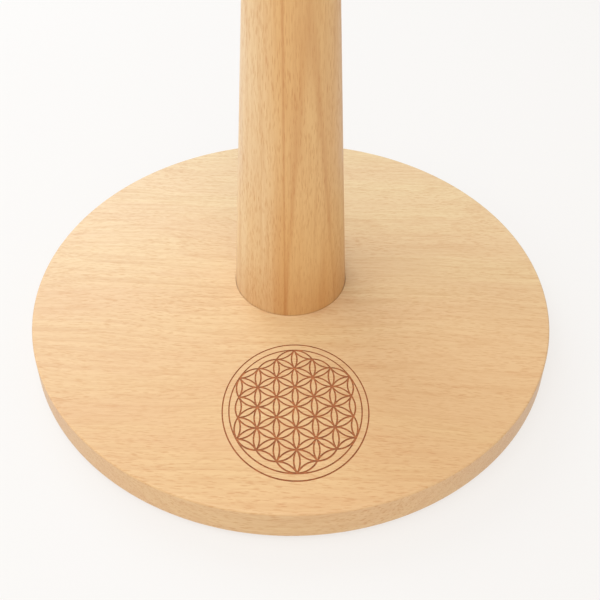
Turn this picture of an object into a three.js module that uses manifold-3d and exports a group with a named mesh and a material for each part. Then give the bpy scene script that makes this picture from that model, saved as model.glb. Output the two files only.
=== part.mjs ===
// Free-standing paper towel holder: a round beech board with one turned post that screws into it.
// Millimetres, +Z up. The origin is on the surface that the holder stands on, under the post's axis.

import * as THREE from "three";
import { mergeVertices } from "three/addons/utils/BufferGeometryUtils.js";
import Module from "manifold-3d";

const wasm = await Module();
wasm.setup();

// ---- Driving dimensions ----

// Whole holder
const overallHeight = 315;

// Base board
const boardDiameter = 180;
const boardThickness = 10;
const topEdgeRadius = 0.6; // rounding of the upper edge
const bottomEdgeRadius = 0.6; // rounding of the lower edge
const rimLean = 0.8; // by which the top is smaller all round than the underside
const seatDepth = 2; // round recess in the top that locates the post's foot

// Post
const footDiameter = 39.2; // just under the bore of a roll's cardboard core
const neckDiameter = 26.4; // where the straight cone of the foot ends
const neckHeight = 95; // above the board's top
const shaftHeight = 165; // above the board's top, where the shaft has become slender
const shaftDiameter = 22;
const tipDiameter = 20.6; // just under the domed end
const domeHeight = 8;
const footEdgeRadius = 0.5; // rounding of the foot's lower edge

// Stud: a hanger bolt, machine thread below and wood thread above
const studDiameter = 8;
const studWoodLength = 22; // inside the post
const studPointLength = 5; // tapered end of the wood thread
const studChamfer = 0.8;

// Tee nut
const flangeDiameter = 22;
const flangeThickness = 1.5;
const barrelWall = 1.2;
const prongCount = 4;
const prongLength = 5;
const prongWidth = 3.5;
const prongThickness = 1.2;

// Foot pads
const padCount = 4;
const padDiameter = 16;
const padThickness = 1.5;
const padInset = 8; // from the board's rim to a pad's outer edge
const padEdgeRadius = 0.4;

// Clearances
const seatClearance = 0.3; // round the foot in its recess
const seatGap = 0.1; // under the foot
const threadClearance = 0.3; // between the stud and the holes it sits in
const pressGap = 0.3; // between the tee nut and the wood round it
const flangeInset = 0.5; // of the flange below the board's underside
const barrelTopGap = 0.5; // between the barrel and the seat's floor
const studTipInset = 0.5; // of the stud's lower end inside the tee nut
const boreEndGap = 2; // past the stud's point in the post

// Fineness of the round surfaces
const boardSegments = 80;
const postSegments = 48;
const smallSegments = 32;

// ---- Sizes worked out from them ----

const boardRadius = boardDiameter / 2;
const boardBottom = padThickness;
const boardTop = boardBottom + boardThickness;
const seatFloor = boardTop - seatDepth;
const footRadius = footDiameter / 2;
const footBottom = seatFloor + seatGap;
const seatRadius = footRadius + seatClearance;
const studRadius = studDiameter / 2;
const barrelInnerRadius = studRadius + threadClearance;
const barrelOuterRadius = barrelInnerRadius + barrelWall;
const flangeRadius = flangeDiameter / 2;
const flangeBottom = boardBottom + flangeInset;
const flangeTop = flangeBottom + flangeThickness;
const barrelTop = seatFloor - barrelTopGap;
const boardBoreRadius = barrelOuterRadius + pressGap;
const counterboreRadius = flangeRadius + pressGap;
const counterboreTop = flangeTop + pressGap;
const prongRadius = flangeRadius - prongThickness; // from the axis to a prong's middle
const studBottom = flangeBottom + studTipInset;
const studTop = footBottom + studWoodLength;
const postBoreRadius = studRadius + threadClearance;
const postBoreTop = studTop + boreEndGap;
const padRadius = padDiameter / 2;
const padCircleRadius = boardRadius - padInset - padRadius;

// ---- Materials ----

const boardWood = new THREE.MeshStandardMaterial({ color: "#e3bb86", roughness: 0.55, metalness: 0 });
const postWood = new THREE.MeshStandardMaterial({ color: "#ecc899", roughness: 0.5, metalness: 0 });
const zincSteel = new THREE.MeshStandardMaterial({ color: "#b9bcbe", roughness: 0.35, metalness: 1 });
const padFelt = new THREE.MeshStandardMaterial({ color: "#6f675d", roughness: 0.95, metalness: 0 });

// ---- Helpers ----

const point = (radius, height) => new THREE.Vector2(radius, height);

// Profile points along an arc, from one angle to the other in degrees.
function arc(centreRadius, centreHeight, radius, fromDegrees, toDegrees, steps) {
  const points = [];
  for (let i = 0; i <= steps; i++) {
    const angle = THREE.MathUtils.degToRad(fromDegrees + ((toDegrees - fromDegrees) * i) / steps);
    points.push(point(centreRadius + radius * Math.cos(angle), centreHeight + radius * Math.sin(angle)));
  }
  return points;
}

// A solid turned about the Z axis. Its profile runs anticlockwise: out along the bottom, up, and back.
function turned(profile, segments) {
  return new THREE.LatheGeometry(profile, segments).rotateX(Math.PI / 2);
}

function solidOf(geometry) {
  const bare = geometry.clone();
  bare.deleteAttribute("normal");
  bare.deleteAttribute("uv");
  const merged = mergeVertices(bare, 1e-4);
  return new wasm.Manifold(
    new wasm.Mesh({
      numProp: 3,
      vertProperties: new Float32Array(merged.attributes.position.array),
      triVerts: new Uint32Array(merged.index.array),
    }),
  );
}

function geometryOf(solid) {
  const mesh = solid.getMesh();
  const geometry = new THREE.BufferGeometry();
  geometry.setAttribute("position", new THREE.BufferAttribute(new Float32Array(mesh.vertProperties), 3));
  geometry.setIndex(new THREE.BufferAttribute(new Uint32Array(mesh.triVerts), 1));
  return geometry.toNonIndexed();
}

function named(name, geometry, material) {
  geometry.computeVertexNormals();
  const mesh = new THREE.Mesh(geometry, material);
  mesh.name = name;
  return mesh;
}

// One upright blade for each prong, standing on a circle round the axis.
function prongBlades(width, thickness, bottom, top) {
  const blades = [];
  for (let i = 0; i < prongCount; i++) {
    const blade = new THREE.BoxGeometry(thickness, width, top - bottom);
    blade.translate(prongRadius, 0, (bottom + top) / 2);
    blade.rotateZ((2 * Math.PI * i) / prongCount);
    blades.push(blade);
  }
  return blades;
}

// ---- Base board ----

function baseBoard() {
  const profile = [
    point(boardBoreRadius, counterboreTop),
    point(counterboreRadius, counterboreTop),
    point(counterboreRadius, boardBottom),
    ...arc(boardRadius - bottomEdgeRadius, boardBottom + bottomEdgeRadius, bottomEdgeRadius, -90, 0, 3),
    ...arc(boardRadius - rimLean - topEdgeRadius, boardTop - topEdgeRadius, topEdgeRadius, 0, 90, 3),
    point(seatRadius, boardTop),
    point(seatRadius, seatFloor),
    point(boardBoreRadius, seatFloor),
    point(boardBoreRadius, counterboreTop),
  ];
  const slotWidth = prongWidth + 2 * pressGap;
  const slotThickness = prongThickness + 2 * pressGap;
  const slotTop = flangeTop + prongLength + pressGap;
  let board = solidOf(turned(profile, boardSegments));
  for (const slot of prongBlades(slotWidth, slotThickness, flangeTop, slotTop)) {
    board = board.subtract(solidOf(slot));
  }
  return named("base_board", geometryOf(board), boardWood);
}

// ---- Post ----

// A straight cone rises from the foot, and one smooth curve carries it into the slender shaft.
function postProfile() {
  const tipRadius = tipDiameter / 2;
  const domeStart = overallHeight - domeHeight;
  const foot = point(footRadius, boardTop);
  const neck = point(neckDiameter / 2, boardTop + neckHeight);
  const shaft = point(shaftDiameter / 2, boardTop + shaftHeight);
  const tip = point(tipRadius, domeStart);
  const coneSlope = (neck.x - foot.x) / neckHeight;
  const shaftSlope = (tip.x - shaft.x) / (tip.y - shaft.y);
  const reach = (shaft.y - neck.y) / 3; // of the curve's handles
  const blend = new THREE.CubicBezierCurve(
    neck,
    point(neck.x + coneSlope * reach, neck.y + reach),
    point(shaft.x - shaftSlope * reach, shaft.y - reach),
    shaft,
  );
  const dome = new THREE.EllipseCurve(0, domeStart, tipRadius, domeHeight, 0, Math.PI / 2);
  return [
    point(0, postBoreTop),
    point(postBoreRadius, postBoreTop),
    point(postBoreRadius, footBottom),
    ...arc(footRadius - footEdgeRadius, footBottom + footEdgeRadius, footEdgeRadius, -90, 0, 2),
    foot,
    ...blend.getPoints(8),
    ...dome.getPoints(6).slice(0, -1),
    point(0, overallHeight),
  ];
}

function post() {
  return named("post", turned(postProfile(), postSegments), postWood);
}

// ---- Post stud ----

function postStud() {
  const profile = [
    point(0, studBottom),
    point(studRadius - studChamfer, studBottom),
    point(studRadius, studBottom + studChamfer),
    point(studRadius, studTop - studPointLength),
    point(0, studTop),
  ];
  return named("post_stud", turned(profile, smallSegments), zincSteel);
}

// ---- Tee nut ----

function teeNut() {
  const profile = [
    point(barrelInnerRadius, flangeBottom),
    point(flangeRadius, flangeBottom),
    point(flangeRadius, flangeTop),
    point(barrelOuterRadius, flangeTop),
    point(barrelOuterRadius, barrelTop),
    point(barrelInnerRadius, barrelTop),
    point(barrelInnerRadius, flangeBottom),
  ];
  const root = flangeTop - flangeThickness / 2; // inside the flange, so that a prong is one with it
  let nut = solidOf(turned(profile, smallSegments));
  for (const prong of prongBlades(prongWidth, prongThickness, root, flangeTop + prongLength)) {
    nut = nut.add(solidOf(prong));
  }
  return named("tee_nut", geometryOf(nut), zincSteel);
}

// ---- Foot pads ----

function footPad(index) {
  const profile = [
    point(0, 0),
    ...arc(padRadius - padEdgeRadius, padEdgeRadius, padEdgeRadius, -90, 0, 2),
    point(padRadius, padThickness),
    point(0, padThickness),
  ];
  const angle = (2 * Math.PI * (index + 0.5)) / padCount;
  const pad = named("foot_pad_" + (index + 1), turned(profile, smallSegments), padFelt);
  pad.position.set(padCircleRadius * Math.cos(angle), padCircleRadius * Math.sin(angle), 0);
  return pad;
}

// ---- Assembly ----

const group = new THREE.Group();
group.add(baseBoard());
group.add(post());
group.add(postStud());
group.add(teeNut());
for (let i = 0; i < padCount; i++) {
  group.add(footPad(i));
}

export default group;
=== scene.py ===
import math

import bmesh
import bpy
import numpy as np
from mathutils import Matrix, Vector
from mathutils.geometry import delaunay_2d_cdt


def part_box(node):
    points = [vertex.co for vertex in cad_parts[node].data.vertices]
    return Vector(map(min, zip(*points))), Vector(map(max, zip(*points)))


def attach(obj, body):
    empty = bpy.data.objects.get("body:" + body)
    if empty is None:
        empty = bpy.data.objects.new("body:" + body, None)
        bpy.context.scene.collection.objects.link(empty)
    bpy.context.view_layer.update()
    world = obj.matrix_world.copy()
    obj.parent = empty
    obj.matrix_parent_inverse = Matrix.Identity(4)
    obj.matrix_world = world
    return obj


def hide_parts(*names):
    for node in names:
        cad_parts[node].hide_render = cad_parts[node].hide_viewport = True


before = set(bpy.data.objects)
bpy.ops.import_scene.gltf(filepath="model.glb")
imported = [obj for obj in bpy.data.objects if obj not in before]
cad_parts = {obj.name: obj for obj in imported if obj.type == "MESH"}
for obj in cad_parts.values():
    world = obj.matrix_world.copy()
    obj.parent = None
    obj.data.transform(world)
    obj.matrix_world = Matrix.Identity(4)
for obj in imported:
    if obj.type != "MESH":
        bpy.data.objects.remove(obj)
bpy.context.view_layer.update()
mm = 0.001

# where the CAD pieces are, in metres
boardLow, boardHigh = (Vector(corner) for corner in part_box("base_board"))
postLow, postHigh = (Vector(corner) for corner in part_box("post"))
studLow, studHigh = (Vector(corner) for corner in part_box("post_stud"))
nutLow, nutHigh = (Vector(corner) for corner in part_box("tee_nut"))
boardRadius = (boardHigh.x - boardLow.x) / 2
boardTop = boardHigh.z
boardBottom = boardLow.z
footRadius = (postHigh.x - postLow.x) / 2
studRadius = (studHigh.x - studLow.x) / 2
print("frame loaded: board %.4f m across, post top at %.4f m" % (boardRadius * 2, postHigh.z))


def flatCircle(radius, count, centre=(0.0, 0.0)):
    angles = [2 * math.pi * i / count for i in range(count)]
    return [(centre[0] + radius * math.cos(a), centre[1] + radius * math.sin(a)) for a in angles]


def addRows(vertices, profile, count):
    # one circle of vertices for each (radius, height) pair; gives where each circle starts
    rows = []
    for radius, height in profile:
        rows.append(len(vertices))
        vertices.extend((x, y, height) for x, y in flatCircle(radius, count))
    return rows


def addCap(vertices, faces, ring, count, middle):
    # closes a circle of vertices with triangles that meet in the middle
    last = len(vertices)
    vertices.append(middle)
    faces.extend((ring + i, ring + (i + 1) % count, last) for i in range(count))


def arcPoints(centreRadius, centreHeight, radius, fromDegrees, toDegrees, steps):
    # (radius, height) pairs along a rounded edge
    turn = toDegrees - fromDegrees
    angles = [math.radians(fromDegrees + turn * i / steps) for i in range(steps + 1)]
    return [
        (centreRadius + radius * math.cos(a), centreHeight + radius * math.sin(a)) for a in angles
    ]


def gridFaces(rowStarts, count, closed=False):
    # quads between circles of vertices that each begin at a row start
    faces = []
    pairs = list(zip(rowStarts, rowStarts[1:]))
    if closed:
        pairs.append((rowStarts[-1], rowStarts[0]))
    for low, high in pairs:
        for i in range(count):
            j = (i + 1) % count
            faces.append((low + i, low + j, high + j, high + i))
    return faces


def meshFrom(name, vertices, faces):
    mesh = bpy.data.meshes.new(name)
    mesh.from_pydata([tuple(v) for v in vertices], [], faces)
    mesh.validate()
    return mesh


def setSmooth(mesh, sharpDegrees):
    # smooth shading with hard edges where two faces meet at more than the angle
    work = bmesh.new()
    work.from_mesh(mesh)
    bmesh.ops.recalc_face_normals(work, faces=work.faces)
    sharp = math.radians(sharpDegrees)
    for face in work.faces:
        face.smooth = True
    for edge in work.edges:
        edge.smooth = len(edge.link_faces) == 2 and edge.calc_face_angle() < sharp
    work.to_mesh(mesh)
    work.free()


def pieceFrom(name, mesh, body, node):
    piece = bpy.data.objects.new(name, mesh)
    bpy.context.collection.objects.link(piece)
    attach(piece, body)
    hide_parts(node)


def addNode(tree, kind, inputs=None, **settings):
    made = tree.nodes.new(kind)
    for key, value in settings.items():
        setattr(made, key, value)
    for key, value in (inputs or {}).items():
        if isinstance(value, bpy.types.NodeSocket):
            tree.links.new(value, made.inputs[key])
        else:
            made.inputs[key].default_value = value
    return made


def maths(tree, operation, first, second=0.0, clamp=False):
    settings = {"operation": operation, "use_clamp": clamp}
    return addNode(tree, "ShaderNodeMath", {0: first, 1: second}, **settings).outputs[0]


def times(tree, first, second):
    return maths(tree, "MULTIPLY", first, second)


def vectorMaths(tree, operation, first, second):
    inputs = {0: first, 1: second}
    return addNode(tree, "ShaderNodeVectorMath", inputs, operation=operation).outputs[0]


def scaled(tree, vector, scale):
    return vectorMaths(tree, "MULTIPLY", vector, scale)


def noiseOf(tree, vector, detail, roughness=0.5):
    inputs = {"Vector": vector, "Scale": 1.0, "Detail": detail, "Roughness": roughness}
    return addNode(tree, "ShaderNodeTexNoise", inputs)


def ranged(tree, value, fromLow, fromHigh, toLow=0.0, toHigh=1.0):
    inputs = {"Value": value, "From Min": fromLow, "From Max": fromHigh}
    inputs.update({"To Min": toLow, "To Max": toHigh})
    return addNode(tree, "ShaderNodeMapRange", inputs, interpolation_type="SMOOTHSTEP").outputs[0]


def mixed(tree, factor, first, second, blend="MIX"):
    settings = {"data_type": "RGBA", "blend_type": blend}
    made = addNode(tree, "ShaderNodeMix", {"Factor": factor}, **settings)
    for index, value in ((6, first), (7, second)):  # the colour sockets of a Mix node
        if isinstance(value, bpy.types.NodeSocket):
            tree.links.new(value, made.inputs[index])
        else:
            made.inputs[index].default_value = (*value, 1.0)
    return made.outputs[2]


def newMaterial(name, shown):
    material = bpy.data.materials.new(name)
    material.use_nodes = True
    material.diffuse_color = (*shown, 1.0)
    shader = material.node_tree.nodes["Principled BSDF"]
    return material, material.node_tree, shader


cameraView = {
    "elevation": 43.25,  # degrees above the board, from the middle of its top
    "distance": 230.5 * mm,
    "aim": (-0.44 * mm, 13.15 * mm),  # on the board's top
    "sensorWidth": 36.0,
    "focalLength": 38.4,
    "shift": (0.0176, -0.0807),  # share of the picture's width
    "nearClip": 10 * mm,
}


def addCamera():
    data = bpy.data.cameras.new("camera")
    data.sensor_width = cameraView["sensorWidth"]
    data.lens = cameraView["focalLength"]
    data.shift_x, data.shift_y = cameraView["shift"]
    data.clip_start = cameraView["nearClip"]
    camera = bpy.data.objects.new("camera", data)
    bpy.context.collection.objects.link(camera)
    rise = math.radians(cameraView["elevation"])
    away = cameraView["distance"]
    camera.location = (0, -away * math.cos(rise), boardTop + away * math.sin(rise))
    looking = Vector((*cameraView["aim"], boardTop)) - camera.location
    camera.rotation_euler = looking.to_track_quat("-Z", "Y").to_euler()
    bpy.context.scene.camera = camera


addCamera()
print("camera placed")

studio = {
    "floorRadius": 6.0,
    "floorSegments": 96,
    "floorColour": (0.22, 0.219, 0.216),
    "floorGlow": (0.68, 0.662, 0.645),  # lit from below, so that shadows stay faint
    "floorFinish": {"Emission Strength": 1.0, "Roughness": 0.9, "Specular IOR Level": 0.1},
    "worldColour": (1.0, 0.99, 0.975),
    "worldStrength": 0.56,
    # place, size, power and colour of each soft light
    "lights": {
        "overhead": ((-0.3, -0.25, 1.45), 1.4, 12.0, (1.0, 1.0, 1.0)),
        "rearLeft": ((-0.65, 1.0, 0.85), 0.95, 7.0, (0.86, 0.96, 1.08)),
        "left": ((-1.4, 0.1, 0.5), 0.9, 4.7, (0.90, 0.97, 1.06)),
        "front": ((0.1, -1.39, 0.6), 1.2, 4.6, (1.06, 1.0, 0.87)),
    },
}


def addSoftLight(name, place, size, power, colour):
    data = bpy.data.lights.new(name, "AREA")
    data.shape = "DISK"
    data.size = size
    data.energy = power
    data.color = colour
    light = bpy.data.objects.new(name, data)
    bpy.context.collection.objects.link(light)
    light.location = place
    light.rotation_euler = (-Vector(place)).to_track_quat("-Z", "Y").to_euler()


def addWorld():
    world = bpy.data.worlds.new("studio")
    world.use_nodes = True
    sky = world.node_tree.nodes["Background"]
    sky.inputs["Color"].default_value = (*studio["worldColour"], 1.0)
    sky.inputs["Strength"].default_value = studio["worldStrength"]
    bpy.context.scene.world = world
    bpy.context.scene.view_settings.view_transform = "Standard"


def addFloor():
    count = studio["floorSegments"]
    outline = [(x, y, 0.0) for x, y in flatCircle(studio["floorRadius"], count)]
    floor = bpy.data.objects.new("floor", meshFrom("floor", outline, [tuple(range(count))]))
    bpy.context.collection.objects.link(floor)
    material, tree, shader = newMaterial("floor", studio["floorColour"])
    shader.inputs["Base Color"].default_value = (*studio["floorColour"], 1.0)
    shader.inputs["Emission Color"].default_value = (*studio["floorGlow"], 1.0)
    for socket, value in studio["floorFinish"].items():
        shader.inputs[socket].default_value = value
    floor.data.materials.append(material)


addWorld()
for name, (place, size, power, colour) in studio["lights"].items():
    addSoftLight(name, place, size, power, colour)
addFloor()
print("floor and lights placed")

# what both woods share: scales are per millimetre, along the grain and across it both ways
grainPattern = {
    "driftScale": (0.011, 0.03, 0.03),
    "driftReach": 4.0,  # times a wood's own warp
    "ringDarkens": (0.25, 0.93),  # shares of a ring's width
    "ringEnds": (0.93, 1.0),
    "ringLineStarts": (0.87, 0.93),
    "ringLeast": 0.35,  # what even the faintest ring shows
    "ringLineLeast": 0.3,
    "patchScale": (0.012, 0.07, 0.07),
    "patchRange": (0.36, 0.66),
    "patchStrength": 0.8,
    "seamCore": 0.1,
    "fibreScale": (0.13, 2.6, 2.6),
    "fibreNoise": (4.0, 0.65),  # detail and roughness
    "streakScale": (0.02, 0.6, 0.9),
    "fibreRange": (0.42, 0.75),
    "fleckEdge": (0.15, 0.32),  # distances from the middle of a cell
    "fleckFade": 0.25,
    "smallFleck": 0.7,  # size beside the large ones
    "smallFleckShift": (31.0, 7.3, 4.1),
    "fleckPatchScale": (0.03, 0.08, 0.08),
    "fleckPatchRange": (0.3, 0.65),
    "fleckLeast": 0.5,  # of the full strength, between the patches
    "endCutRange": (0.35, 1.0),
    "roughnessNoise": (0.25, 0.75),
    "roughnessSpread": (-0.05, 0.08),
    "fleckRoughness": 0.12,
    "fleckSink": 0.5,
    "bumpHeight": 0.06 * mm,
    "coat": {"Coat Weight": 0.12, "Coat Roughness": 0.34},
}

boardWood = {
    "grainTurn": (0.0, 0.0, math.radians(3.0)),  # carries the grain onto the X axis
    "pith": (30.0, -55.0),  # mm, middle of the growth rings beside and below the board
    "ringWidth": 2.5,
    "ringStrength": 0.3,
    "ringLine": 0.2,
    "warp": 3.0,
    "light": (0.732, 0.50, 0.25),
    "dark": (0.62, 0.372, 0.168),
    "rosy": (0.707, 0.457, 0.23),
    "paintedLightAxis": "Y",  # the way across the grain in which the painted light changes: painted shade at the front, painted sheen towards the rear
    "paintedLightSpan": (-85.0, 85.0),  # mm
    "paintedLightTints": ((0.955, 0.915, 0.885), (1.04, 1.18, 1.37)),  # at either end of the span: darker at the front as painted shade, paler and whiter at the rear as painted sheen
    "fleck": (0.50, 0.215, 0.068),
    "fleckSize": (5.2, 0.5, 0.8),  # spacing along the grain and across it both ways, mm
    "fleckShare": 0.85,
    "fleckStrength": 0.5,
    "fibreStrength": 0.3,
    "streakStrength": 0.2,
    "endGrain": 0.3,
    "endColour": (0.47, 0.27, 0.16),
    "roughness": 0.45,
    "bump": 0.25,
}

postWood = {
    "grainTurn": (0.0, math.radians(90), math.radians(-3.1)),
    "pith": (42.9, 19.1),
    "ringWidth": 4.386,
    "ringStrength": 0.26,
    "ringLine": 0.42,
    "warp": 0.35,
    "light": (0.735, 0.462, 0.198),
    "dark": (0.62, 0.335, 0.115),
    "rosy": (0.69, 0.392, 0.145),
    # painted sheen: one side of the post paler and whiter, across Z
    "paintedLightAxis": "Z",
    "paintedLightSpan": (1.0, 9.5),
    "paintedLightTints": ((1.0, 1.0, 1.0), (1.07, 1.28, 1.75)),
    "seam": (1.85, 0.5, 0.4),  # place on Z, half width and strength of one dark line
    "paintedFootShade": (0.89, 0.81, 0.74),  # painted shade: darker and browner towards the foot, by the board
    "footShadeReach": (10.0, 38.0),  # mm up the grain
    "fleck": (0.50, 0.20, 0.055),
    "fleckSize": (5.4, 0.8, 0.5),
    "fleckShare": 0.85,
    "fleckStrength": 0.52,
    "fibreStrength": 0.3,
    "streakStrength": 0.2,
    "endGrain": 0.3,
    "endColour": (0.50, 0.28, 0.14),
    "roughness": 0.42,
    "bump": 0.25,
}


def grainSpace(tree, look):
    # coordinates in millimetres with the grain along X, whose fibres wander slowly
    place = addNode(tree, "ShaderNodeTexCoord").outputs["Object"]
    turned = {"Vector": place, "Rotation": look["grainTurn"], "Scale": (1 / mm, 1 / mm, 1 / mm)}
    straight = addNode(tree, "ShaderNodeMapping", turned).outputs[0]
    slowPlace = scaled(tree, straight, grainPattern["driftScale"])
    slow = noiseOf(tree, slowPlace, detail=1.0).outputs["Color"]
    centred = vectorMaths(tree, "SUBTRACT", slow, (0.5, 0.5, 0.5))
    reach = grainPattern["driftReach"] * look["warp"]
    return vectorMaths(tree, "ADD", straight, scaled(tree, centred, (0.0, reach, reach)))


def ringColour(tree, grain, look):
    # growth rings about a distant pith, each darkest at its outer edge
    across = vectorMaths(tree, "SUBTRACT", grain, (0.0, *look["pith"]))
    across = scaled(tree, across, (0.0, 1.0, 1.0))
    length = addNode(tree, "ShaderNodeVectorMath", {0: across}, operation="LENGTH")
    rings = maths(tree, "DIVIDE", length.outputs["Value"], look["ringWidth"])
    part = maths(tree, "FRACT", rings)
    number = {"W": maths(tree, "FLOOR", rings)}
    white = addNode(tree, "ShaderNodeTexWhiteNoise", number, noise_dimensions="1D")
    chance = white.outputs["Value"]

    falling = ranged(tree, part, *grainPattern["ringEnds"], 1.0, 0.0)
    shade = times(tree, ranged(tree, part, *grainPattern["ringDarkens"]), falling)
    shade = times(tree, shade, maths(tree, "ADD", chance, grainPattern["ringLeast"]))
    shade = maths(tree, "MULTIPLY", shade, look["ringStrength"], clamp=True)
    colour = mixed(tree, shade, look["light"], look["dark"])

    line = times(tree, ranged(tree, part, *grainPattern["ringLineStarts"]), falling)
    depth = times(tree, maths(tree, "ADD", chance, grainPattern["ringLineLeast"]), look["ringLine"])
    return mixed(tree, times(tree, line, depth), colour, look["fleck"])


def paintedLightAndSeam(tree, colour, grain, look):
    # painted shade and sheen that change from one side to the other, then what only some woods
    # have: a dark seam in the grain and painted shade at the foot
    sides = addNode(tree, "ShaderNodeSeparateXYZ", {0: grain}).outputs
    # painted sheen towards one side, with painted shade at the other end on the board
    change = ranged(tree, sides[look["paintedLightAxis"]], *look["paintedLightSpan"])
    colour = mixed(tree, 1.0, colour, mixed(tree, change, *look["paintedLightTints"]), "MULTIPLY")
    if "seam" in look:
        place, halfWidth, strength = look["seam"]
        away = maths(tree, "ABSOLUTE", maths(tree, "SUBTRACT", sides["Z"], place))
        dark = ranged(tree, away, grainPattern["seamCore"], halfWidth, strength, 0.0)
        colour = mixed(tree, dark, colour, look["fleck"])
    # painted shade towards the post's foot
    if "paintedFootShade" in look:
        rise = ranged(tree, sides["X"], *look["footShadeReach"])
        shadeTint = mixed(tree, rise, look["paintedFootShade"], (1.0, 1.0, 1.0))
        colour = mixed(tree, 1.0, colour, shadeTint, "MULTIPLY")
    return colour


def fleckMask(tree, grain, look, size, shift):
    # short dashes along the grain: the beech's rays, each the middle of one stretched cell
    moved = vectorMaths(tree, "ADD", grain, shift)
    cells = scaled(tree, moved, [1 / (size * side) for side in look["fleckSize"]])
    pattern = addNode(tree, "ShaderNodeTexVoronoi", {"Vector": cells, "Scale": 1.0})
    shape = ranged(tree, pattern.outputs["Distance"], *grainPattern["fleckEdge"], 1.0, 0.0)
    chance = addNode(tree, "ShaderNodeSeparateColor", {"Color": pattern.outputs["Color"]})
    share = look["fleckShare"]
    present = ranged(tree, chance.outputs[0], share, share + grainPattern["fleckFade"], 1.0, 0.0)
    return times(tree, shape, present)


def endCut(tree, look):
    # how far a surface is cut across the fibres
    facing = addNode(tree, "ShaderNodeNewGeometry").outputs["Normal"]
    turned = {"Vector": facing, "Rotation": look["grainTurn"]}
    toGrain = addNode(tree, "ShaderNodeMapping", turned, vector_type="VECTOR").outputs[0]
    along = addNode(tree, "ShaderNodeSeparateXYZ", {0: toGrain}).outputs[0]
    cut = maths(tree, "ABSOLUTE", along)
    return ranged(tree, cut, *grainPattern["endCutRange"], 0.0, look["endGrain"])


def woodMaterial(name, look):
    material, tree, shader = newMaterial(name, look["light"])
    grain = grainSpace(tree, look)
    colour = ringColour(tree, grain, look)

    patches = noiseOf(tree, scaled(tree, grain, grainPattern["patchScale"]), detail=2.0).outputs[0]
    strength = grainPattern["patchStrength"]
    rosiness = ranged(tree, patches, *grainPattern["patchRange"], 0.0, strength)
    colour = mixed(tree, rosiness, colour, look["rosy"])
    colour = paintedLightAndSeam(tree, colour, grain, look)

    fibrePlace = scaled(tree, grain, grainPattern["fibreScale"])
    fibres = noiseOf(tree, fibrePlace, *grainPattern["fibreNoise"]).outputs[0]
    streakPlace = scaled(tree, grain, grainPattern["streakScale"])
    streaks = noiseOf(tree, streakPlace, detail=2.0).outputs[0]
    for shade, strength in ((fibres, look["fibreStrength"]), (streaks, look["streakStrength"])):
        depth = ranged(tree, shade, *grainPattern["fibreRange"], 0.0, strength)
        colour = mixed(tree, depth, colour, look["fleck"])

    large = fleckMask(tree, grain, look, 1.0, (0.0, 0.0, 0.0))
    shift = grainPattern["smallFleckShift"]
    small = fleckMask(tree, grain, look, grainPattern["smallFleck"], shift)
    flecks = maths(tree, "MAXIMUM", large, small)
    groupPlace = scaled(tree, grain, grainPattern["fleckPatchScale"])
    groups = noiseOf(tree, groupPlace, detail=1.0).outputs[0]
    strength = look["fleckStrength"]
    least = grainPattern["fleckLeast"] * strength
    depth = ranged(tree, groups, *grainPattern["fleckPatchRange"], least, strength)
    colour = mixed(tree, times(tree, flecks, depth), colour, look["fleck"])
    colour = mixed(tree, endCut(tree, look), colour, look["endColour"])
    tree.links.new(colour, shader.inputs["Base Color"])

    spread = [look["roughness"] + change for change in grainPattern["roughnessSpread"]]
    rough = ranged(tree, fibres, *grainPattern["roughnessNoise"], *spread)
    rough = maths(tree, "ADD", rough, times(tree, flecks, grainPattern["fleckRoughness"]))
    tree.links.new(rough, shader.inputs["Roughness"])
    relief = maths(tree, "SUBTRACT", fibres, times(tree, flecks, grainPattern["fleckSink"]))
    inputs = {"Strength": look["bump"], "Distance": grainPattern["bumpHeight"], "Height": relief}
    bump = addNode(tree, "ShaderNodeBump", inputs)
    tree.links.new(bump.outputs[0], shader.inputs["Normal"])
    for socket, value in grainPattern["coat"].items():
        shader.inputs[socket].default_value = value
    return material


gritRange = (0.3, 0.7)  # noise values at which each of the two colours is pure

burntLook = {
    "shown": (0.36, 0.12, 0.04),
    "scale": (500.0, 1600.0, 1600.0),  # per metre
    "noise": (3.0, 0.6),  # detail and roughness
    "colours": ((0.27, 0.083, 0.025), (0.46, 0.155, 0.05)),
    "roughness": (0.2, 0.8, 0.75, 0.95),  # noise from and to, roughness from and to
    "bump": (0.5, 0.05 * mm),  # strength and height
    "finish": {},
}

steelLook = {
    "shown": (0.62, 0.63, 0.64),
    "scale": (400.0, 400.0, 900.0),
    "noise": (4.0, 0.6),
    "colours": ((0.50, 0.51, 0.53), (0.68, 0.69, 0.68)),
    "roughness": (0.25, 0.75, 0.26, 0.46),
    "bump": (0.2, 0.04 * mm),
    "finish": {"Metallic": 1.0},
}

feltLook = {
    "shown": (0.16, 0.14, 0.12),
    "scale": (2600.0, 2600.0, 2600.0),
    "noise": (6.0, 0.75),
    "colours": ((0.085, 0.072, 0.06), (0.24, 0.21, 0.18)),
    "roughness": (0.2, 0.8, 0.86, 1.0),
    "bump": (0.8, 0.12 * mm),
    "finish": {"Sheen Weight": 0.3, "Sheen Roughness": 0.5},
}


def grittyMaterial(name, look):
    # one fine noise varies the colour, the roughness and the bump
    material, tree, shader = newMaterial(name, look["shown"])
    place = addNode(tree, "ShaderNodeTexCoord").outputs["Object"]
    grit = noiseOf(tree, scaled(tree, place, look["scale"]), *look["noise"]).outputs[0]
    colour = mixed(tree, ranged(tree, grit, *gritRange), *look["colours"])
    tree.links.new(colour, shader.inputs["Base Color"])
    tree.links.new(ranged(tree, grit, *look["roughness"]), shader.inputs["Roughness"])
    strength, height = look["bump"]
    inputs = {"Strength": strength, "Distance": height, "Height": grit}
    bump = addNode(tree, "ShaderNodeBump", inputs)
    tree.links.new(bump.outputs[0], shader.inputs["Normal"])
    for socket, value in look["finish"].items():
        shader.inputs[socket].default_value = value
    return material


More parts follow.
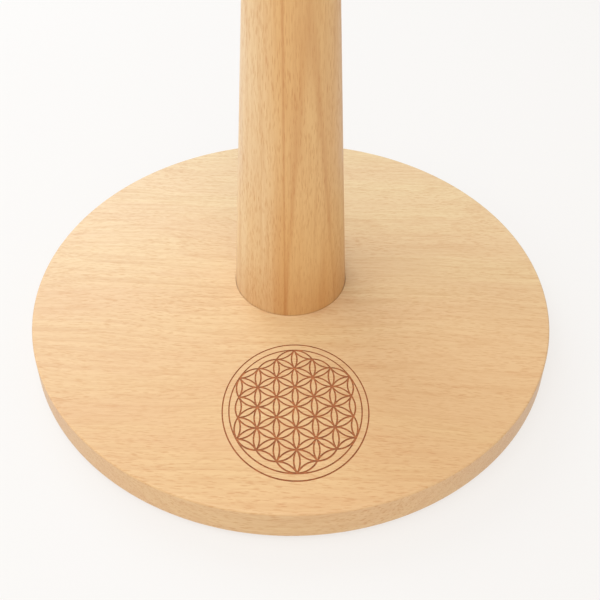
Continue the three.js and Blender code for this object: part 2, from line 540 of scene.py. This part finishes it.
boardMaterial = woodMaterial("boardWood", boardWood)
postMaterial = woodMaterial("postWood", postWood)
burnt = grittyMaterial("burntWood", burntLook)
steel = grittyMaterial("zincSteel", steelLook)
felt = grittyMaterial("padFelt", feltLook)
print("materials made")

boardShape = {
    "segments": 360,
    "support": 0.3 * mm,  # a circle close inside each rounded edge keeps the flat face flat
    "topEdge": 0.6 * mm,
    "bottomEdge": 0.6 * mm,
    "edgeSteps": 8,
    "lean": 0.8 * mm,  # the top is this much smaller all round than the underside
    "rimSteps": 6,
    "underShares": (0.8, 0.5, 0.25),  # circles under the board, as shares of its radius
    "seatClearance": 0.12 * mm,  # round the post's foot
    "seatGap": 0.1 * mm,  # under it
    "counterboreRadius": 11.3 * mm,
    "counterboreDepth": 2.3 * mm,
    "boreRadius": 5.8 * mm,
    "sharpDegrees": 30,
}

ornament = {
    "centre": (1.5, -56.15),  # mm on the board's top
    "turn": 1.0,  # degrees
    "stretch": (0.909, 1.0),  # across, front to back
    "cell": 7.1,  # radius and spacing of the small circles, mm
    "cellLine": 0.52,
    "petalReach": 2,  # cells from the middle circle to the outermost whole ones
    "arcReach": 4,  # cells to the outermost circles that lend an arc
    "petalSpare": 0.05,
    "rings": (21.45, 23.6),
    "ringLine": 0.44,
    "depth": 0.2,
    "arcSteps": 9,  # per sixth of a small circle
    "ringSteps": 160,
}

sixth = math.radians(60)
joinReach = 1e-5  # mm, outline points nearer than this become one
holeSlack = 1e-4  # mm, so that no triangle at the seat's edge counts as inside it


def hexCentres(reach):
    # centres of a triangular lattice out to a hexagonal distance, one corner pointing to the rear
    cell = ornament["cell"]
    centres = []
    for q in range(-reach, reach + 1):
        for r in range(-reach, reach + 1):
            if abs(q + r) <= reach:
                centres.append((cell * q * math.sqrt(3) / 2, cell * (r + q / 2)))
    return centres


def flowerArcs():
    # every sixth of a small circle that runs inside the union of the whole circles
    cell = ornament["cell"]
    petals = hexCentres(ornament["petalReach"])
    reach = cell + ornament["petalSpare"]
    arcs = []
    for x, y in hexCentres(ornament["arcReach"]):
        for number in range(6):
            start = sixth * number + sixth / 2
            middle = start + sixth / 2
            midX = x + cell * math.cos(middle)
            midY = y + cell * math.sin(middle)
            if any((midX - px) ** 2 + (midY - py) ** 2 < reach * reach for px, py in petals):
                arcs.append((x, y, start))
    return arcs


def arcStrip(x, y, start):
    # closed outline of an engraved line along one sixth of a small circle
    steps = ornament["arcSteps"]
    outline = []
    for side, order in ((1, range(steps + 1)), (-1, range(steps, -1, -1))):
        for i in order:
            angle = start + sixth * i / steps
            reach = ornament["cell"] + side * ornament["cellLine"] / 2
            outline.append((x + reach * math.cos(angle), y + reach * math.sin(angle)))
    return outline


def ontoBoard(point):
    # from the ornament's own plane to the board's top, in mm
    turn = math.radians(ornament["turn"])
    x = point[0] * ornament["stretch"][0]
    y = point[1] * ornament["stretch"][1]
    return (
        ornament["centre"][0] + x * math.cos(turn) - y * math.sin(turn),
        ornament["centre"][1] + x * math.sin(turn) + y * math.cos(turn),
    )


def offBoard(points):
    # the way back, for many points at once
    turn = math.radians(ornament["turn"])
    moved = points - np.array(ornament["centre"])
    x = moved[:, 0] * math.cos(turn) + moved[:, 1] * math.sin(turn)
    y = -moved[:, 0] * math.sin(turn) + moved[:, 1] * math.cos(turn)
    return np.stack([x / ornament["stretch"][0], y / ornament["stretch"][1]], axis=1)


def inGroove(points, arcs):
    # whether each point of the board's top lies in an engraved line
    flat = offBoard(points)
    reach = np.hypot(flat[:, 0], flat[:, 1])
    found = np.zeros(len(flat), bool)
    for radius in ornament["rings"]:
        found |= np.abs(reach - radius) < ornament["ringLine"] / 2
    for x, y, start in arcs:
        away = flat - np.array((x, y))
        off = np.abs(np.hypot(away[:, 0], away[:, 1]) - ornament["cell"])
        angle = (np.arctan2(away[:, 1], away[:, 0]) - start) % (2 * math.pi)
        found |= (off < ornament["cellLine"] / 2) & (angle < sixth)
    return found


def boardTopMesh(outerRadius, innerRadius, count):
    # triangles of the top face, cut along the engraved lines; all in mm
    points = []
    edges = []

    def addLoop(outline):
        first = len(points)
        points.extend(outline)
        edges.extend((first + i, first + (i + 1) % len(outline)) for i in range(len(outline)))

    addLoop(flatCircle(outerRadius, count))
    addLoop(flatCircle(innerRadius, count))
    addLoop(flatCircle(outerRadius - boardShape["support"] / mm, count))
    for radius in ornament["rings"]:
        for side in (-1, 1):
            outline = flatCircle(radius + side * ornament["ringLine"] / 2, ornament["ringSteps"])
            addLoop([ontoBoard(p) for p in outline])
    arcs = flowerArcs()
    for arc in arcs:
        addLoop([ontoBoard(p) for p in arcStrip(*arc)])
    flat = [Vector(p) for p in points]
    vertices, _, faces, origins, _, _ = delaunay_2d_cdt(flat, edges, [], 0, joinReach)
    corners = np.array([tuple(v) for v in vertices])
    triangles = np.array([tuple(f) for f in faces])
    middles = corners[triangles].mean(axis=1)
    hole = innerRadius * math.cos(math.pi / count) - holeSlack
    keep = np.hypot(middles[:, 0], middles[:, 1]) > hole
    place = {source: index for index, sources in enumerate(origins) for source in sources}
    outerLoop = [place[i] for i in range(count)]
    innerLoop = [place[count + i] for i in range(count)]
    return corners, triangles[keep], inGroove(middles[keep], arcs), outerLoop, innerLoop


def sinkGrooves(corners, triangles, groove):
    # the top in metres, with every groove lowered and its walls closed
    vertices = [(x * mm, y * mm, boardTop) for x, y in corners]
    faces = []
    marks = []  # 0 wood, 1 burnt
    lowered = {}
    owners = {}

    def sunk(index):
        if index not in lowered:
            lowered[index] = len(vertices)
            x, y, _ = vertices[index]
            vertices.append((x, y, boardTop - ornament["depth"] * mm))
        return lowered[index]

    for triangle, burned in zip(triangles.tolist(), groove.tolist()):
        a, b, c = triangle
        turn = (corners[b][0] - corners[a][0]) * (corners[c][1] - corners[a][1])
        turn -= (corners[b][1] - corners[a][1]) * (corners[c][0] - corners[a][0])
        if turn < 0:
            b, c = c, b
        faces.append(tuple(sunk(i) for i in (a, b, c)) if burned else (a, b, c))
        marks.append(1 if burned else 0)
        for edge in ((a, b), (b, c), (c, a)):
            owners[edge] = burned
    for (a, b), burned in owners.items():
        if burned and owners.get((b, a)) is False:
            faces.append((b, a, sunk(a), sunk(b)))
            marks.append(1)
    return vertices, faces, marks


def boardProfile(topRadius, seatRadius):
    # over the rim, under the board, up the bore and out over the seat
    shape = boardShape
    topEdge, bottomEdge = shape["topEdge"], shape["bottomEdge"]
    steps = shape["edgeSteps"]
    profile = arcPoints(topRadius - topEdge, boardTop - topEdge, topEdge, 90, 0, steps)[1:]
    rimLow = boardBottom + bottomEdge
    rimHeight = boardTop - topEdge - boardBottom - bottomEdge
    rimSteps = shape["rimSteps"]
    for i in range(rimSteps - 1, 0, -1):
        radius = boardRadius - shape["lean"] * i / rimSteps
        profile.append((radius, rimLow + rimHeight * i / rimSteps))
    profile += arcPoints(boardRadius - bottomEdge, rimLow, bottomEdge, 0, -90, steps)
    profile.append((boardRadius - bottomEdge - shape["support"], boardBottom))
    profile += [(boardRadius * share, boardBottom) for share in shape["underShares"]]
    counterRadius, boreRadius = shape["counterboreRadius"], shape["boreRadius"]
    counterTop = boardBottom + shape["counterboreDepth"]
    seatFloor = postLow.z - shape["seatGap"]
    profile += [(counterRadius, boardBottom), (counterRadius, counterTop)]
    profile += [(boreRadius, counterTop), (boreRadius, seatFloor), (seatRadius, seatFloor)]
    return profile


def baseBoard():
    count = boardShape["segments"]
    seatRadius = footRadius + boardShape["seatClearance"]
    topRadius = boardRadius - boardShape["lean"]
    flatRadius = topRadius - boardShape["topEdge"]
    top = boardTopMesh(flatRadius / mm, seatRadius / mm, count)
    corners, triangles, groove, outerLoop, innerLoop = top
    vertices, faces, marks = sinkGrooves(corners, triangles, groove)
    rows = addRows(vertices, boardProfile(topRadius, seatRadius), count)
    for i in range(count):
        j = (i + 1) % count
        faces.append((outerLoop[j], outerLoop[i], rows[0] + i, rows[0] + j))
        faces.append((rows[-1] + j, rows[-1] + i, innerLoop[i], innerLoop[j]))
    faces += [(a, d, c, b) for a, b, c, d in gridFaces(rows, count)]
    marks += [0] * (len(faces) - len(marks))

    mesh = bpy.data.meshes.new("baseBoard")
    mesh.from_pydata(vertices, [], faces)
    mesh.materials.append(boardMaterial)
    mesh.materials.append(burnt)
    mesh.polygons.foreach_set("material_index", marks)
    mesh.update()
    setSmooth(mesh, boardShape["sharpDegrees"])
    pieceFrom("engravedBoard", mesh, "board", "base_board")


baseBoard()
print("base board engraved")

postShape = {
    "segments": 192,
    "neckRadius": 13.2 * mm,
    "neckHeight": 95.0 * mm,  # above the board's top
    "shaftHeight": 165.0 * mm,
    "shaftRadius": 11.0 * mm,
    "tipRadius": 10.3 * mm,
    "domeHeight": 8.0 * mm,
    "footEdge": 0.5 * mm,
    "boreRadius": 4.3 * mm,
    "boreEnd": 2.0 * mm,  # past the stud's point
    "edgeSteps": 5,
    "coneSteps": 24,
    "bendSteps": 24,
    "shaftSteps": 20,
    "domeSteps": 16,
    "sharpDegrees": 35,
}


def linePoints(start, end, steps):
    run, rise = end[0] - start[0], end[1] - start[1]
    return [(start[0] + run * i / steps, start[1] + rise * i / steps) for i in range(steps + 1)]


def bezier(p0, p1, p2, p3, steps):
    # the curve's points after its first
    made = []
    for i in range(1, steps + 1):
        t = i / steps
        weights = ((1 - t) ** 3, 3 * t * (1 - t) ** 2, 3 * t * t * (1 - t), t ** 3)
        controls = list(zip(weights, (p0, p1, p2, p3)))
        made.append(tuple(sum(w * p[k] for w, p in controls) for k in (0, 1)))
    return made


def postProfile():
    # up the blind bore's wall, round the foot and up to the dome
    shape = postShape
    foot = (footRadius, boardTop)
    neck = (shape["neckRadius"], boardTop + shape["neckHeight"])
    shaft = (shape["shaftRadius"], boardTop + shape["shaftHeight"])
    tip = (shape["tipRadius"], postHigh.z - shape["domeHeight"])
    boreRadius, footEdge = shape["boreRadius"], shape["footEdge"]
    profile = [(boreRadius, studHigh.z + shape["boreEnd"]), (boreRadius, postLow.z)]
    edgeCentre = (footRadius - footEdge, postLow.z + footEdge)
    profile += arcPoints(*edgeCentre, footEdge, -90, 0, shape["edgeSteps"])
    profile += linePoints(foot, neck, shape["coneSteps"])
    coneSlope = (neck[0] - foot[0]) / (neck[1] - foot[1])
    shaftSlope = (tip[0] - shaft[0]) / (tip[1] - shaft[1])
    reach = (shaft[1] - neck[1]) / 3
    leaving = (neck[0] + coneSlope * reach, neck[1] + reach)
    arriving = (shaft[0] - shaftSlope * reach, shaft[1] - reach)
    profile += bezier(neck, leaving, arriving, shaft, shape["bendSteps"])
    profile += linePoints(shaft, tip, shape["shaftSteps"])[1:]
    for i in range(1, shape["domeSteps"]):
        angle = math.radians(90 * i / shape["domeSteps"])
        height = tip[1] + shape["domeHeight"] * math.sin(angle)
        profile.append((tip[0] * math.cos(angle), height))
    return profile


def post():
    count = postShape["segments"]
    vertices = []
    rows = addRows(vertices, postProfile(), count)
    faces = gridFaces(rows, count)
    addCap(vertices, faces, rows[0], count, (0, 0, studHigh.z + postShape["boreEnd"]))
    addCap(vertices, faces, rows[-1], count, (0, 0, postHigh.z))
    mesh = meshFrom("post", vertices, faces)
    setSmooth(mesh, postShape["sharpDegrees"])
    mesh.materials.append(postMaterial)
    pieceFrom("turnedPost", mesh, "upright", "post")


post()
print("post turned")

thread = {
    "pitch": 1.25 * mm,
    "depth": 0.62 * mm,
    "flank": 2.6,  # steepness
    "root": 1.15,  # over 1 leaves the root flat
    "stepsPerTurn": 10,
    "woodPitch": 3.0 * mm,
    "woodDepth": 1.1 * mm,
    "woodFlank": 3.4,
    "slack": 0.14 * mm,  # between the stud's thread and the nut's
}

studShape = {
    "segments": 48,
    "endChamfer": 0.8 * mm,
    "machineFade": 0.6 * mm,  # the thread runs out over this
    "collarStart": 0.4 * mm,  # above the post's underside
    "collarLength": 2.0 * mm,
    "collarInset": 0.15 * mm,
    "woodFade": 1.2 * mm,
    "tipLength": 6.0 * mm,
    "tipCurve": 0.8,
    "tipLeast": 0.02,
    "sharpDegrees": 50,
}


def machineDepth(height, angle):
    # how deep the machine thread is cut, from 0 at the crest to 1 at the root
    phase = (height / thread["pitch"] - angle / (2 * math.pi)) % 1.0
    return max(0.0, min(1.0, thread["root"] - thread["flank"] * abs(phase - 0.5)))


def woodDepth(height, angle):
    # a wood thread: a narrow sharp crest and a wide flat root
    phase = (height / thread["woodPitch"] - angle / (2 * math.pi)) % 1.0
    return max(0.0, min(1.0, thread["woodFlank"] * (0.5 - abs(phase - 0.5))))


def studReach(height, angle):
    # the stud's radius: machine thread below, plain collar, wood thread and point above
    collarLow = postLow.z + studShape["collarStart"]
    collarHigh = collarLow + studShape["collarLength"]
    if height < collarLow:
        fade = min(1.0, (collarLow - height) / studShape["machineFade"])
        reach = studRadius - thread["depth"] * machineDepth(height, angle) * fade
        return min(reach, studRadius - studShape["endChamfer"] + (height - studLow.z))
    if height < collarHigh:
        return studRadius - studShape["collarInset"]
    fade = min(1.0, (height - collarHigh) / studShape["woodFade"])
    reach = studRadius - thread["woodDepth"] * woodDepth(height, angle) * fade
    toTip = max(studShape["tipLeast"], (studHigh.z - height) / studShape["tipLength"])
    return reach * min(1.0, toTip ** studShape["tipCurve"])


def addThreadRow(vertices, rows, count, height, reachAt):
    # one circle whose radius changes with the angle
    rows.append(len(vertices))
    for i in range(count):
        angle = 2 * math.pi * i / count
        reach = reachAt(height, angle)
        vertices.append((reach * math.cos(angle), reach * math.sin(angle), height))


def postStud():
    count = studShape["segments"]
    length = studHigh.z - studLow.z
    rowCount = int(length / (thread["pitch"] / thread["stepsPerTurn"]))
    vertices = []
    rows = []
    for row in range(rowCount + 1):
        addThreadRow(vertices, rows, count, studLow.z + length * row / rowCount, studReach)
    faces = gridFaces(rows, count)
    addCap(vertices, faces, rows[0], count, (0, 0, studLow.z))
    addCap(vertices, faces, rows[-1], count, (0, 0, studHigh.z))
    mesh = meshFrom("stud", vertices, faces)
    setSmooth(mesh, studShape["sharpDegrees"])
    mesh.materials.append(steel)
    pieceFrom("hangerStud", mesh, "stud", "post_stud")


nutShape = {
    "segments": 72,
    "flangeThickness": 1.5 * mm,
    "flangeEdge": 0.35 * mm,
    "edgeSteps": 4,
    "barrelRadius": 5.5 * mm,
    "filletReach": 0.8 * mm,  # where the barrel meets the flange
    "filletMiddle": (0.25 * mm, 0.2 * mm),
    "barrelChamfer": 0.3 * mm,
    "mouthChamfer": 0.3 * mm,
    "prongCount": 4,
    "prongInner": 9.2 * mm,
    "prongOuter": 10.4 * mm,
    "prongHeight": 5.0 * mm,
    "prongStages": ((0.55, 1.0), (0.45, 0.25)),  # share of the height, and of the width kept
    "prongQuads": 4,  # width of a prong, in segments
    "sharpDegrees": 40,
}


def nutProfile(flangeTop):
    # the nut's outside, from under the flange to the top of the barrel
    shape = nutShape
    edge, barrel, fillet = shape["flangeEdge"], shape["barrelRadius"], shape["filletReach"]
    out, up = shape["filletMiddle"]
    chamfer = shape["barrelChamfer"]
    edgeRadius = (nutHigh.x - nutLow.x) / 2 - edge
    profile = arcPoints(edgeRadius, nutLow.z + edge, edge, -90, 0, shape["edgeSteps"])
    profile += arcPoints(edgeRadius, flangeTop - edge, edge, 0, 90, shape["edgeSteps"])
    profile += [(shape["prongOuter"], flangeTop), (shape["prongInner"], flangeTop)]
    profile += [(barrel + fillet, flangeTop), (barrel + out, flangeTop + up)]
    profile += [(barrel, flangeTop + fillet), (barrel, nutHigh.z - chamfer)]
    profile.append((barrel - chamfer, nutHigh.z))
    return profile


def nutReach(height, angle):
    # the radius of the threaded hole, chamfered at both mouths
    edge = min(height - nutLow.z, nutHigh.z - height)
    reach = studRadius + thread["slack"] - thread["depth"] * machineDepth(height, angle)
    return max(reach, studRadius + nutShape["mouthChamfer"] - edge)


def addProngs(vertices, faces, outerRow, innerRow):
    # each prong grows in stages from a few quads of the band between two circles
    count, prongs, quads = nutShape["segments"], nutShape["prongCount"], nutShape["prongQuads"]
    covered = set()
    for number in range(prongs):
        first = number * count // prongs - quads // 2
        columns = [(first + k) % count for k in range(quads + 1)]
        for i, j in zip(columns, columns[1:]):
            covered.add((outerRow + i, outerRow + j, innerRow + j, innerRow + i))
        ring = [outerRow + c for c in columns] + [innerRow + c for c in reversed(columns)]
        for share, narrowing in nutShape["prongStages"]:
            spots = [Vector(vertices[i]) for i in ring]
            middle = sum(spots, Vector()) / len(spots)
            lift = Vector((0, 0, nutShape["prongHeight"] * share))
            raised = list(range(len(vertices), len(vertices) + len(ring)))
            vertices.extend(middle + (spot - middle) * narrowing + lift for spot in spots)
            for k in range(len(ring)):
                faces.append((ring[k - 1], ring[k], raised[k], raised[k - 1]))
            ring = raised
        faces.extend((ring[k], ring[k + 1], ring[-2 - k], ring[-1 - k]) for k in range(quads))
    faces[:] = [face for face in faces if face not in covered]


def teeNut():
    count = nutShape["segments"]
    flangeTop = nutLow.z + nutShape["flangeThickness"]
    length = nutHigh.z - nutLow.z
    rowCount = int(length / (thread["pitch"] / thread["stepsPerTurn"]))
    vertices = []
    profile = nutProfile(flangeTop)
    rows = addRows(vertices, profile, count)
    for row in range(rowCount + 1):
        addThreadRow(vertices, rows, count, nutHigh.z - length * row / rowCount, nutReach)
    faces = gridFaces(rows, count, closed=True)
    outer = profile.index((nutShape["prongOuter"], flangeTop))
    addProngs(vertices, faces, rows[outer], rows[outer + 1])
    mesh = meshFrom("nut", vertices, faces)
    setSmooth(mesh, nutShape["sharpDegrees"])
    mesh.materials.append(steel)
    pieceFrom("prongedNut", mesh, "board", "tee_nut")


postStud()
teeNut()
print("stud and tee nut threaded")

padShape = {
    "count": 4,
    "segments": 96,
    "edge": 0.4 * mm,
    "edgeSteps": 5,
    "sideSteps": 5,
    "underShares": (0.15, 0.3, 0.45, 0.6, 0.75, 0.88),  # circles under the pad
    "sideShare": 0.9,  # past this share of the radius the nap stands sideways
    "fuzz": 0.05 * mm,
    "seed": 40,
    "sharpDegrees": 50,
}


def footPad(number):
    node = "foot_pad_%d" % number
    low, high = (Vector(corner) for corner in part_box(node))
    centre = (low + high) / 2
    radius = (high.x - low.x) / 2
    edge, count, sideSteps = padShape["edge"], padShape["segments"], padShape["sideSteps"]
    sideLow = low.z + edge
    profile = [(radius * share, low.z) for share in padShape["underShares"]]
    profile += arcPoints(radius - edge, sideLow, edge, -90, 0, padShape["edgeSteps"])
    profile += linePoints((radius, sideLow), (radius, high.z), sideSteps)[1:]
    sideStart = radius * padShape["sideShare"]
    generator = np.random.default_rng(padShape["seed"] + number)
    vertices = []
    rows = []
    for reach, height in profile:
        rows.append(len(vertices))
        nap = generator.random(count) * padShape["fuzz"]
        underneath = height < low.z + edge / 2 and reach < sideStart
        for i in range(count):
            angle = 2 * math.pi * i / count
            out = reach - (nap[i] if reach > sideStart else 0.0)
            lift = nap[i] if underneath else 0.0
            spot = (centre.x + out * math.cos(angle), centre.y + out * math.sin(angle))
            vertices.append((*spot, height + lift))
    faces = gridFaces(rows, count)
    addCap(vertices, faces, rows[0], count, (centre.x, centre.y, low.z))
    addCap(vertices, faces, rows[-1], count, (centre.x, centre.y, high.z))
    mesh = meshFrom("pad", vertices, faces)
    setSmooth(mesh, padShape["sharpDegrees"])
    mesh.materials.append(felt)
    pieceFrom("feltPad%d" % number, mesh, "board", node)


for number in range(1, padShape["count"] + 1):
    footPad(number)
print("foot pads cut")
